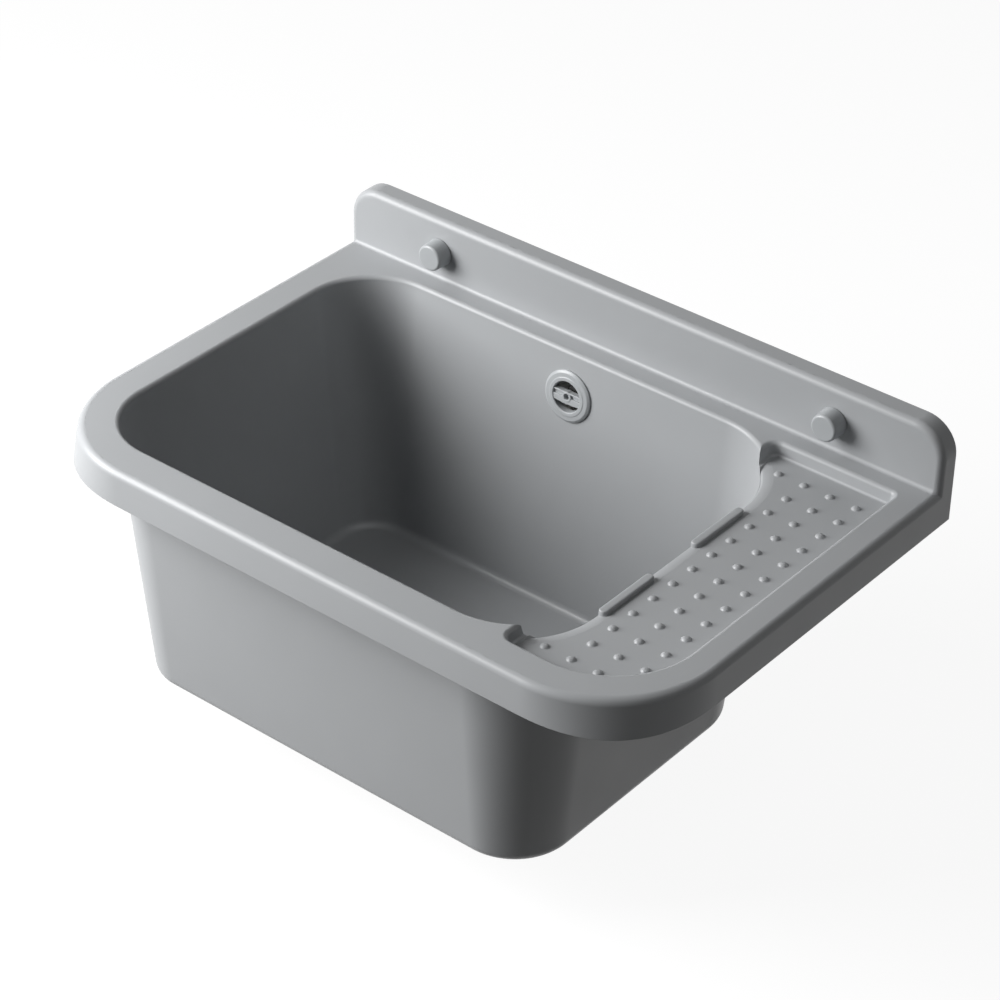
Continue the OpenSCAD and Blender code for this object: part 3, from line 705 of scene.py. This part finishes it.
def thread(name, core, crest, pitch, start, turns, steps=32):
    """A helical ridge whose foot stands in the core."""
    root = core - 0.4
    flat = (start + 0.42 * pitch, start + 0.58 * pitch)
    piece = section(name, [(root, start), (crest, flat[0]), (crest, flat[1]), (root, start + pitch)])
    apply(
        piece, "SCREW", angle=2 * math.pi, steps=steps, render_steps=steps, axis="Z",
        screw_offset=pitch * MM, iterations=turns,
    )
    pick(piece, "FACE", lambda f: True)
    bpy.ops.mesh.select_all(action="SELECT")
    bpy.ops.mesh.fill_holes(sides=4)
    clean(piece)
    return piece


def stand(piece, place):
    """Move a piece that was built on Z to its place."""
    piece.data.transform(place)
    return piece


def out_of_wall(x):
    """The frame of a screw: its Z axis points out of the wall."""
    return Matrix.Translation((x * MM, 0, 0)) @ Matrix.Rotation(quarter_turn, 4, "X")


at_overflow = Matrix.Translation(overflow_at) @ Matrix.Rotation(quarter_turn - wall_tilt, 4, "X")
at_waste = Matrix.Translation(waste_at)
print("helpers for turned pieces ready")

# %% [markdown]
# The screw caps are moulded pots with a flat face, a rounded edge and a 2 mm wall. They slide over
# round washers that the wall screws hold. The hexagon heads are chamfered like real ones: a
# prism is kept only where it lies inside a turned blank. The thread is a true helix.


# %% A wall screw
def wall_screw(name):
    """A wall screw on Z: a hexagon head, a plain neck and a shank with its thread."""
    flats, head_foot, head_h = 13, 22.5, 5.5
    work_on(None)
    bpy.ops.mesh.primitive_cylinder_add(
        vertices=6, radius=flats / 2 / math.cos(math.radians(30)) * MM, depth=head_h * MM,
        location=(0, 0, (head_foot + head_h / 2) * MM), rotation=(0, 0, quarter_turn),
    )
    head = settle("head")
    blank = turned("blank", [(0, 22), (7, 22), (7.6, 22.9), (7.6, 26.9), (6.1, 28), (0, 28)])
    cut(head, blank, "INTERSECT")
    shank = turned("shank", [
        (0, 25), (3.5, 25), (3.5, 0.5), (3.1, 0), (3.1, -24), (0.9, -31.4, 0.5), (0, -32),
    ], 32)
    ridge = thread("ridge", core=3.1, crest=4, pitch=2.6, start=-25, turns=8)
    return join_all([head, shank, ridge], name)


print("wall screw ready")

# %% Screw caps, washers and wall screws
for side, hand in ((-1, "left"), (1, "right")):
    place = out_of_wall(side * screw_x)
    cap = turned("cap_" + hand + "_moulding", [
        (0, 34), (11.5, 34, 2.2), (12.5, 19.3, 0.5), (10.5, 19.3, 0.3), (10.5, 32, 1), (0, 32),
    ])
    finish_shading(stand(cap, place))
    hand_over(cap, "fitting_plastic", "cap_" + hand, "screw_cap_" + hand)

    washer = turned("washer_" + hand + "_moulding", [
        (4.5, 19), (10.2, 19, 0.2), (10.2, 22.5, 0.6), (4.5, 22.5, 0.3),
    ])
    finish_shading(stand(washer, place))
    hand_over(washer, "white_plastic", node="wall_washer_" + hand)

    screw = wall_screw("wall_screw_" + hand + "_turned")
    finish_shading(stand(screw, place))
    hand_over(screw, "screw_steel", node="wall_screw_" + hand)
print("caps, washers and wall screws 2 each")

# %% [markdown]
# The overflow rosette is a moulded ring with a soft bead round its opening. Two rails cross it:
# a narrow one above, and a wide one below, whose lower edge swells round the boss of the small
# screw. The bar is built of bevelled blocks, with room for the boss and its stepped hole.

# %% The overflow rosette
ring = turned("overflow_rosette_moulding", [
    (13.75, -3.5, 0.3), (16.75, -3.5, 0.3), (16.75, 0.01), (23.25, 0.01, 0.3), (23.25, 1.4, 0.7),
    (21.2, 2.8, 1.4), (17.8, 3.0, 0.7), (16.9, 3.4, 0.5), (14.3, 3.4, 0.7), (13.75, 2.6, 0.5),
], 96)
bar_half, bar_swell = 15.2, 1.3
web = block("web", -bar_half, bar_half, -3.4, 3.4, -2.3, 1.1)
top_rail = block("top_rail", -bar_half, bar_half, 2.7, 4.2, -2.4, 2.7, 0.5)
low_rail = block("low_rail", -bar_half, bar_half, -5.6, -0.6, -2.4, 2.6, 0.7)
pick(low_rail, "EDGE", lambda e: abs(e.verts[0].co.x - e.verts[1].co.x) > 10 * MM)
bpy.ops.mesh.subdivide(number_cuts=11)
work_on(low_rail)
for vertex in low_rail.data.vertices:
    if vertex.co.y < -3 * MM:
        vertex.co.y -= bar_swell * MM * math.cos(vertex.co.x / MM / bar_half * quarter_turn)
for rail in (web, top_rail, low_rail):
    cut(rail, drill("boss_drill", 3.9, 20))
boss = turned("boss", [
    (2.1, -2.5), (4.6, -2.5, 0.3), (4.6, 3, 0.6), (2.7, 3, 0.4), (2.7, -1.1), (2.1, -1.1),
], 48)
rosette = join_all([ring, web, top_rail, low_rail, boss], "overflow_rosette_moulding")
finish_shading(stand(rosette, at_overflow), 36)
hand_over(rosette, "fitting_plastic", node="overflow_rosette")
print("rosette", len(rosette.data.polygons), "faces")


# %% The small screw of the rosette
def slotted(name, r, h, seat, slot, shank_r, tip):
    """A screw with a domed, slotted head of radius r and height h above its seat."""
    made = turned(name, [
        (0, seat + h), (r * 0.6, seat + h * 0.97, r * 0.6), (r, seat + h * 0.55, r * 0.25),
        (r, seat, 0.2), (shank_r, seat),
        (shank_r, tip + shank_r * 0.6), (shank_r * 0.5, tip), (0, tip),
    ], 48)
    cut(made, block("slot", -2 * r, 2 * r, -slot / 2, slot / 2, seat + h * 0.6, seat + h * 1.5, 0.05))
    return made


small_screw = slotted("overflow_screw_turned", r=2.55, h=1.2, seat=-1.1, slot=0.8, shank_r=2, tip=-14.5)
finish_shading(stand(small_screw, at_overflow))
hand_over(small_screw, "screw_steel", node="overflow_screw")
print("small screw", len(small_screw.data.polygons), "faces")

# %% [markdown]
# The waste. Its strainer is pressed and turned from stainless sheet: a dished plate with a rolled
# edge, two rings of drilled holes and a neck below. The white body under the floor is moulded,
# with a threaded tail for the trap and a barbed spigot for the overflow hose.


# %% The strainer and its screw
def drilled_ring(radius, circle, count, first):
    """A ring of drills, joined to one cutter."""
    drills = []
    for i in range(count):
        a = (i + first) / count * 2 * math.pi
        spot = Vector((circle * math.cos(a), circle * math.sin(a), 2)) * MM
        drills.append(drill("hole_drill", radius, 8, spot))
    return join_all(drills, "hole_drills")


strainer = turned("waste_strainer_turned", [
    (3.5, 1.5), (18.2, 1.5), (18.2, -10.5), (20, -10.5, 0.3), (20, 1.5), (35, 1.5, 0.3), (35, 2.8, 0.6),
    (32, 4, 2), (22, 4, 0.8), (20.6, 2.4, 1), (3.5, 2.4),
], 96)
cut(strainer, drilled_ring(radius=3.2, circle=14, count=8, first=0))
cut(strainer, drilled_ring(radius=1.6, circle=9.3, count=8, first=0.5))
finish_shading(stand(strainer, at_waste))
hand_over(strainer, "strainer_steel", node="waste_strainer")
waste_screw = slotted("waste_screw_turned", r=6, h=3, seat=2.4, slot=1.6, shank_r=3, tip=-28.5)
finish_shading(stand(waste_screw, at_waste))
hand_over(waste_screw, "screw_steel", node="waste_screw")
print("strainer", len(strainer.data.polygons), "faces")


# %% The waste body
def spigot(length, start):
    """A hose spigot on Z, with a barb near its end."""
    return turned("spigot", [
        (8, start), (10, start), (10, length - 6, 0.5), (11, length - 6, 0.3),
        (10, length - 3, 0.5), (10, length, 0.5), (8, length, 0.5),
    ], 48)


def bore(piece, side):
    """Drill from the axis of a piece through its wall, where its spigot stands."""
    cut(piece, stand(drill("side_drill", 8.05, 40, (0, 0, 20 * MM)), side))


to_overflow = Matrix.Translation((0, 0, -24 * MM)) @ Matrix.Rotation(-quarter_turn, 4, "X")
shell = turned("waste_body_moulding", [
    (20.3, -7, 0.2), (34, -7, 0.5), (34, -11, 0.8), (26, -11, 1), (26, -41, 0.8), (22.9, -41),
    (22.9, -61, 0.6), (19.5, -61, 0.4), (19.5, -14.5), (20.3, -14.5),
], 96)
bore(shell, to_overflow)
waste_spigot = stand(spigot(length=58, start=25), to_overflow)
tail = thread("tail_thread", core=22.9, crest=23.9, pitch=2.1, start=-60.2, turns=7, steps=96)
post = turned("post", [
    (3.1, -30, 0.3), (8, -30, 0.5), (8, -19, 0.5), (5.1, -19, 0.2), (5.1, -27), (3.1, -27),
], 48)
parts = [shell, waste_spigot, tail, post]
for i in range(4):
    arm = block("arm", 7, 20.5, -1.5, 1.5, -30, -22, 0.5)
    parts.append(stand(arm, Matrix.Rotation(math.radians(45 + 90 * i), 4, "Z")))
waste = join_all(parts, "waste_body_moulding")
finish_shading(stand(waste, at_waste))
hand_over(waste, "white_plastic", node="waste_body")
print("waste body", len(waste.data.polygons), "faces")

# %% [markdown]
# Behind the wall of the bowl a white elbow takes the water down to the hose. Its post holds the
# brass insert of the small screw. A black rubber boot covers post and insert. It is painted shade:
# a dark piece put there so that only dark shows between the rails of the rosette.

# %% The overflow elbow, and a black boot of painted shade over its post
to_hose = Matrix.Translation((0, 0, -17 * MM)) @ Matrix.Rotation(quarter_turn, 4, "X")
cup = turned("overflow_elbow_moulding", [
    (17, -6.5), (23.25, -6.5, 0.4), (23.25, -8.5, 0.5), (19, -8.5, 0.6), (19, -25.5, 1.2),
    (0, -25.5), (0, -23.5), (17, -23.5, 0.8),
], 96)
bore(cup, to_hose)
elbow_spigot = stand(spigot(length=51, start=18), to_hose)
elbow_post = turned("post", [
    (0, -24), (6, -24), (6, -6.5, 0.3), (4.1, -6.5, 0.2), (4.1, -12.5), (2.1, -12.5),
    (2.1, -16.5), (0, -16.5),
], 48)
# The boot is painted shade: a black piece over the post and its insert, so that the opening of the
# rosette looks dark.
painted_shade_boot = turned("overflow_painted_shade_boot", [
    (2.1, -5.7, 0.2), (6.5, -5.7, 0.8), (6.5, -14, 0.3), (6.05, -14), (6.05, -6.4), (2.1, -6.4),
], 48)
finish_shading(stand(painted_shade_boot, at_overflow))
hand_over(painted_shade_boot, "seal_rubber")
elbow = join_all([cup, elbow_spigot, elbow_post], "overflow_elbow_moulding")
finish_shading(stand(elbow, at_overflow))
hand_over(elbow, "white_plastic", node="overflow_elbow")
print("elbow", len(elbow.data.polygons), "faces, boot", len(painted_shade_boot.data.polygons), "faces")

# %% [markdown]
# Materials. Every finish starts from what the real one is. One small function turns the sRGB
# colours to the linear values that the shader wants, one gives the scale of a pattern from the
# real size of its cells, and one adds a node with its settings and links, so that a material
# reads as a short list of what makes its look.


# %% Helpers for materials
def rgb(code):
    """An sRGB hex colour as linear values."""
    parts = [int(code[i : i + 2], 16) / 255 for i in (1, 3, 5)]
    return [c / 12.92 if c < 0.04045 else ((c + 0.055) / 1.055) ** 2.4 for c in parts] + [1]


def scale_of(size):
    """The scale of a pattern on Object coordinates, whose cells are this many mm wide."""
    return 1 / (size * MM)


def add(material, kind, inputs=None, links=(), **settings):
    """Add a node. A link is (node, its output, the input of the new node)."""
    node = material.node_tree.nodes.new(kind)
    for key, value in settings.items():
        setattr(node, key, value)
    for key, value in (inputs or {}).items():
        node.inputs[key].default_value = value
    for source, output, own in links:
        material.node_tree.links.new(source.outputs[output], node.inputs[own])
    return node


def new_material(name):
    """An empty material."""
    material = bpy.data.materials.new(name)
    material.use_nodes = True
    material.node_tree.nodes.clear()
    return material


def wear(piece, material):
    """Give a piece one material."""
    piece.data.materials.clear()
    piece.data.materials.append(material)


print("helpers for materials ready")

# %% [markdown]
# The basin is injection moulded polypropylene, coloured through. Its skin is a satin: fine spark
# grain from the mould softens the highlight, while long, shallow waves from the cooling make the
# reflections of the lamp swim a little. The colour hardly varies. The real grain is about a tenth
# of a millimetre, and it is drawn at 0.9 mm, so that it shows. The fittings are a smoother ABS.


# %% Moulded plastics
def moulded_plastic(name, low, high, roughness=0.36, grain=0.12):
    """A satin plastic between two colours. The grain is the strength of its fine bumps."""
    material = new_material(name)
    place = add(material, "ShaderNodeTexCoord")
    here = [(place, "Object", "Vector")]
    cloudy = {"Scale": scale_of(111), "Detail": 3, "Roughness": 0.6}
    cloud = add(material, "ShaderNodeTexNoise", cloudy, here)
    colour = add(
        material, "ShaderNodeMix", {6: rgb(low), 7: rgb(high)}, [(cloud, "Fac", 0)], data_type="RGBA"
    )
    patches = add(material, "ShaderNodeTexNoise", {"Scale": scale_of(38.5), "Detail": 4}, here)
    rough = add(
        material, "ShaderNodeMapRange",
        {"To Min": roughness - 0.03, "To Max": roughness + 0.03, "From Min": 0.3, "From Max": 0.7},
        [(patches, "Fac", "Value")],
    )
    waves = add(material, "ShaderNodeTexNoise", {"Scale": scale_of(71.4), "Detail": 1}, here)
    long_bump = add(
        material, "ShaderNodeBump", {"Strength": 0.35, "Distance": 1.2 * MM}, [(waves, "Fac", "Height")]
    )
    spark = add(material, "ShaderNodeTexNoise", {"Scale": scale_of(0.91), "Detail": 2}, here)
    bump = add(
        material, "ShaderNodeBump", {"Strength": grain, "Distance": 0.12 * MM},
        [(spark, "Fac", "Height"), (long_bump, "Normal", "Normal")],
    )
    shader = add(
        material, "ShaderNodeBsdfPrincipled", {"IOR": 1.49, "Specular IOR Level": 0.36},
        [(colour, 2, "Base Color"), (rough, "Result", "Roughness"), (bump, "Normal", "Normal")],
    )
    add(material, "ShaderNodeOutputMaterial", links=[(shader, "BSDF", "Surface")])
    return material


basin_plastic = moulded_plastic("grey_polypropylene_moulded", "#9a9c9e", "#a0a2a4")
fitting_plastic = moulded_plastic("grey_abs_moulded", "#9da0a2", "#a3a6a8", roughness=0.3, grain=0.08)
white_plastic = moulded_plastic("white_polypropylene_moulded", "#dcdcd9", "#e4e4e1", roughness=0.32)
print("plastics 3")

# %% [markdown]
# The seals are black nitrile rubber with a dull, slightly dusty skin, so they look nearly flat.
# The screws are zinc plated steel, whose thin coat varies in tone from crystal to crystal. The
# strainer is stainless steel, brushed on a lathe: its grooves are long and lie 0.3 mm apart up
# its walls, so they run round. The inserts are turned brass.


# %% Rubber and metals
def nitrile_rubber(name):
    """A matt black rubber with a little dust on it."""
    material = new_material(name)
    place = add(material, "ShaderNodeTexCoord")
    dusty = {"Scale": scale_of(3.33), "Detail": 5}
    dust = add(material, "ShaderNodeTexNoise", dusty, [(place, "Object", "Vector")])
    colour = add(
        material, "ShaderNodeMix", {6: rgb("#1c1c1c"), 7: rgb("#2c2c2b")}, [(dust, "Fac", 0)],
        data_type="RGBA",
    )
    bump = add(
        material, "ShaderNodeBump", {"Strength": 0.3, "Distance": 0.2 * MM}, [(dust, "Fac", "Height")]
    )
    shader = add(
        material, "ShaderNodeBsdfPrincipled", {"Roughness": 0.62, "IOR": 1.52},
        [(colour, 2, "Base Color"), (bump, "Normal", "Normal")],
    )
    add(material, "ShaderNodeOutputMaterial", links=[(shader, "BSDF", "Surface")])
    return material


def grained_metal(name, low, high, roughness, grain_size, stretch=(1, 1, 1)):
    """A metal between two colours. Its grain, in mm, is divided by the stretch on each axis."""
    material = new_material(name)
    place = add(material, "ShaderNodeTexCoord")
    along = add(material, "ShaderNodeMapping", {"Scale": stretch}, [(place, "Object", "Vector")])
    grained = {"Scale": scale_of(grain_size), "Detail": 4}
    grain = add(material, "ShaderNodeTexNoise", grained, [(along, "Vector", "Vector")])
    colour = add(
        material, "ShaderNodeMix", {6: rgb(low), 7: rgb(high)}, [(grain, "Fac", 0)], data_type="RGBA"
    )
    rough = add(
        material, "ShaderNodeMapRange",
        {"To Min": roughness - 0.06, "To Max": roughness + 0.06, "From Min": 0.3, "From Max": 0.7},
        [(grain, "Fac", "Value")],
    )
    bump = add(
        material, "ShaderNodeBump", {"Strength": 0.15, "Distance": 0.1 * MM}, [(grain, "Fac", "Height")]
    )
    shader = add(
        material, "ShaderNodeBsdfPrincipled", {"Metallic": 1.0},
        [(colour, 2, "Base Color"), (rough, "Result", "Roughness"), (bump, "Normal", "Normal")],
    )
    add(material, "ShaderNodeOutputMaterial", links=[(shader, "BSDF", "Surface")])
    return material


rubber = nitrile_rubber("black_nitrile_rubber")
zinc_steel = grained_metal("zinc_plated_steel", "#b4b8bc", "#cdd0d2", roughness=0.34, grain_size=2)
strainer_steel = grained_metal(
    "brushed_stainless_steel", "#c3c5c7", "#d2d3d4", roughness=0.27, grain_size=11.1, stretch=(1, 1, 40)
)
brass = grained_metal("turned_brass", "#c9a557", "#d8b76c", roughness=0.3, grain_size=2.5)
print("rubber 1, metals 3")

# %% Give every piece its finish
finish_of = {
    "basin_plastic": basin_plastic,
    "fitting_plastic": fitting_plastic,
    "white_plastic": white_plastic,
    "seal_rubber": rubber,
    "screw_steel": zinc_steel,
    "strainer_steel": strainer_steel,
    "nut_brass": brass,
}
for part in frame["record"]["subparts"]:
    wear(frame["nodes"][part["node"]], finish_of[part["material_slot"]])
for piece, slot in dressed:
    wear(piece, finish_of[slot])
print("materials", len(finish_of), "on", len(frame["nodes"]), "nodes")

# %% [markdown]
# The studio: a pale floor under the waste tail, and one large soft lamp at the front left, which
# gives the basin its bright left corner and dark right sides. A small lamp high on the right
# lifts the dark sides a little, and the world is nearly black. Behind the object the camera sees
# white, and so do gloss and glass, but no light comes from that white. Seen from below, the floor
# is clear. It shows the shadow of the basin faintly.


# %% The floor
def is_seen(material):
    """A factor that is 1 for rays of the camera, of gloss and of glass, and 0 for light."""
    rays = add(material, "ShaderNodeLightPath")
    seen = add(
        material, "ShaderNodeMath", {}, [(rays, "Is Camera Ray", 0), (rays, "Is Glossy Ray", 1)],
        operation="MAXIMUM",
    )
    return add(
        material, "ShaderNodeMath", {}, [(seen, 0, 0), (rays, "Is Transmission Ray", 1)],
        operation="MAXIMUM",
    )


floor_below = -0.3295
work_on(None)
bpy.ops.mesh.primitive_plane_add(size=14, location=(0, 1.0, floor_below))
floor = settle("studio_floor")
paper = new_material("white_studio_paper")
seen = is_seen(paper)
white = add(paper, "ShaderNodeEmission", {"Color": rgb("#ffffff"), "Strength": 1.06})
chalk = add(paper, "ShaderNodeBsdfDiffuse", {"Color": rgb("#f3f3f3")})
pale = add(paper, "ShaderNodeMixShader", {"Fac": 0.87}, [(chalk, 0, 1), (white, 0, 2)])
dim = add(paper, "ShaderNodeBsdfDiffuse", {"Color": rgb("#505050")})
both = add(paper, "ShaderNodeMixShader", {}, [(seen, 0, "Fac"), (dim, 0, 1), (pale, 0, 2)])
side = add(paper, "ShaderNodeNewGeometry")
clear = add(paper, "ShaderNodeBsdfTransparent")
sheet = add(paper, "ShaderNodeMixShader", {}, [(side, "Backfacing", "Fac"), (both, 0, 1), (clear, 0, 2)])
add(paper, "ShaderNodeOutputMaterial", links=[(sheet, 0, "Surface")])
wear(floor, paper)
print("floor at", floor_below)


# %% Lamps and world
def lamp(name, place, target, size, power):
    """A soft, square area lamp that looks at a target."""
    data = bpy.data.lights.new(name, "AREA")
    data.shape = "SQUARE"
    data.size = size
    data.energy = power
    made = bpy.data.objects.new(name, data)
    aim = (Vector(target) - Vector(place)).to_track_quat("-Z", "Y").to_matrix().to_4x4()
    made.matrix_world = Matrix.Translation(place) @ aim
    bpy.context.scene.collection.objects.link(made)


lamp("key", (-1.18, -1.16, 0.68), (0, -0.2, -0.1), size=1.2, power=62)
lamp("side", (1.25, -0.1, 1.9), (0.2, -0.2, -0.05), size=1.0, power=5)
world = bpy.data.worlds.new("studio_world")
bpy.context.scene.world = world
world.use_nodes = True
world.node_tree.nodes.clear()
seen = is_seen(world)
fill = add(world, "ShaderNodeBackground", {"Color": rgb("#ffffff"), "Strength": 0.012})
back = add(world, "ShaderNodeBackground", {"Color": rgb("#ffffff"), "Strength": 1.0})
both = add(world, "ShaderNodeMixShader", {}, [(seen, 0, "Fac"), (fill, 0, 1), (back, 0, 2)])
add(world, "ShaderNodeOutputWorld", links=[(both, 0, "Surface")])
bpy.context.scene.view_settings.view_transform = "Standard"
print("studio ready")

# %% [markdown]
# At the end edit mode is left, and nothing stays selected.

# %% Leave nothing selected
work_on(None)
